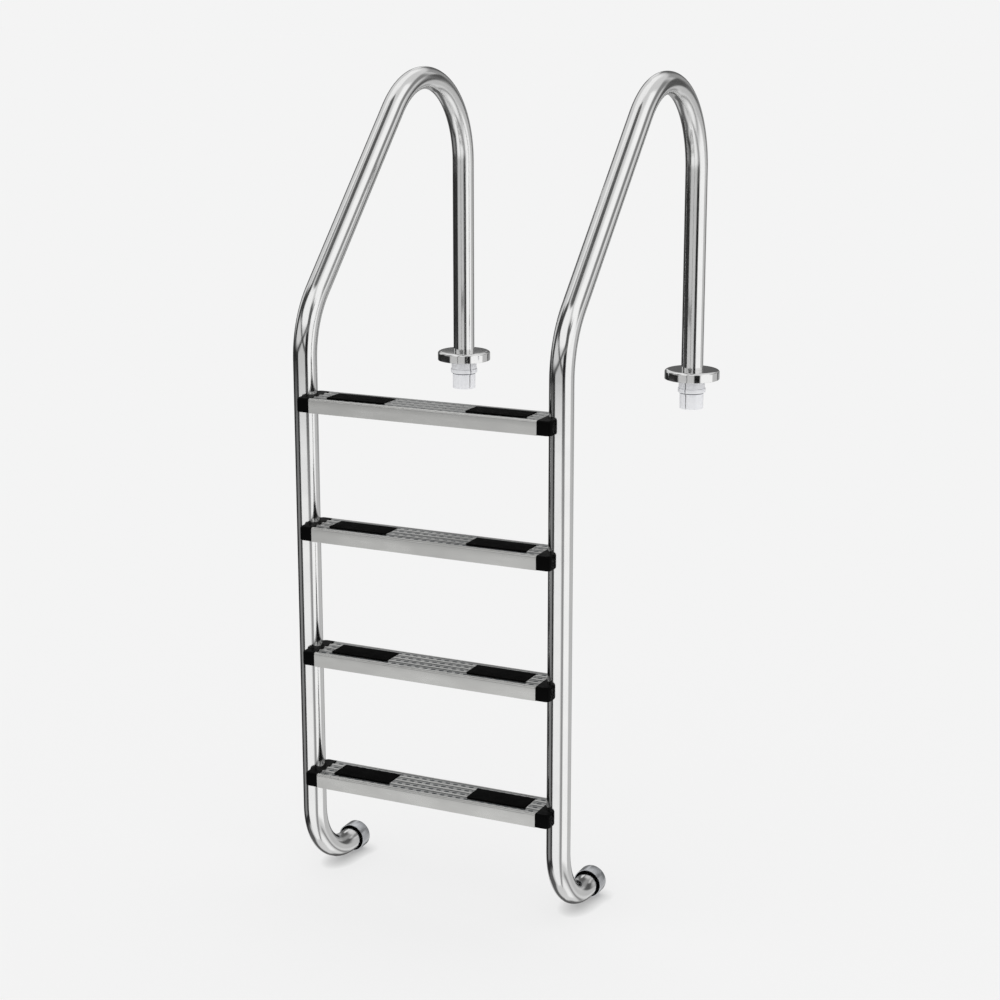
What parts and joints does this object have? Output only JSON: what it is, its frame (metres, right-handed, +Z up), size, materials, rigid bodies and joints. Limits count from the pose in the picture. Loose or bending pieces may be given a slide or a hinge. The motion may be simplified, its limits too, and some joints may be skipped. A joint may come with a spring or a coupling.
{
  "type": "pool ladder",
  "caption": "Polished stainless pool ladder with arched handrails, padded steel treads, deck cover plates, anchor sleeves and wall bumpers on hooked feet.",
  "frame": {"origin": "midway between the axes of the two deck tubes, at deck level, which is the plane of the cover plates' rims", "axes": "+X across the ladder to the right rail as seen from the pool, -Y towards the pool, +Z up"},
  "size_m": [0.608, 0.734, 1.4925],
  "materials": {
    "polished_stainless": "mirror polished stainless steel",
    "brushed_stainless": "satin stainless steel, brushed along the tread",
    "black_rubber": "matt black moulded rubber",
    "black_plastic": "black moulded plastic, fine texture",
    "pale_plastic": "natural translucent plastic",
    "stainless_fastener": "plain stainless steel"
  },
  "bodies": {
    "ladder": {"left_rail": "polished_stainless", "left_anchor_sleeve": "pale_plastic", "left_bumper_drum": "brushed_stainless", "left_bumper_bush": "black_rubber", "right_rail": "polished_stainless", "right_anchor_sleeve": "pale_plastic", "right_bumper_drum": "brushed_stainless", "right_bumper_bush": "black_rubber", "tread_1_plate": "brushed_stainless", "tread_1_left_pad": "black_rubber", "tread_1_left_cap": "black_plastic", "tread_1_left_screw": "stainless_fastener", "tread_1_left_washer": "stainless_fastener", "tread_1_left_rivet_nut": "stainless_fastener", "tread_1_right_pad": "black_rubber", "tread_1_right_cap": "black_plastic", "tread_1_right_screw": "stainless_fastener", "tread_1_right_washer": "stainless_fastener", "tread_1_right_rivet_nut": "stainless_fastener", "tread_2_plate": "brushed_stainless", "tread_2_left_pad": "black_rubber", "tread_2_left_cap": "black_plastic", "tread_2_left_screw": "stainless_fastener", "tread_2_left_washer": "stainless_fastener", "tread_2_left_rivet_nut": "stainless_fastener", "tread_2_right_pad": "black_rubber", "tread_2_right_cap": "black_plastic", "tread_2_right_screw": "stainless_fastener", "tread_2_right_washer": "stainless_fastener", "tread_2_right_rivet_nut": "stainless_fastener", "tread_3_plate": "brushed_stainless", "tread_3_left_pad": "black_rubber", "tread_3_left_cap": "black_plastic", "tread_3_left_screw": "stainless_fastener", "tread_3_left_washer": "stainless_fastener", "tread_3_left_rivet_nut": "stainless_fastener", "tread_3_right_pad": "black_rubber", "tread_3_right_cap": "black_plastic", "tread_3_right_screw": "stainless_fastener", "tread_3_right_washer": "stainless_fastener", "tread_3_right_rivet_nut": "stainless_fastener", "tread_4_plate": "brushed_stainless", "tread_4_left_pad": "black_rubber", "tread_4_left_cap": "black_plastic", "tread_4_left_screw": "stainless_fastener", "tread_4_left_washer": "stainless_fastener", "tread_4_left_rivet_nut": "stainless_fastener", "tread_4_right_pad": "black_rubber", "tread_4_right_cap": "black_plastic", "tread_4_right_screw": "stainless_fastener", "tread_4_right_washer": "stainless_fastener", "tread_4_right_rivet_nut": "stainless_fastener"},
    "left_cover": {"left_escutcheon": "polished_stainless"},
    "right_cover": {"right_escutcheon": "polished_stainless"}
  },
  "joints": [
    {"name": "left_cover_slide", "type": "slide", "parent": "ladder", "child": "left_cover", "axis": [0, 0, 1], "range_m": [0, 0.385]},
    {"name": "right_cover_slide", "type": "slide", "parent": "ladder", "child": "right_cover", "axis": [0, 0, 1], "range_m": [0, 0.385]}
  ]
}
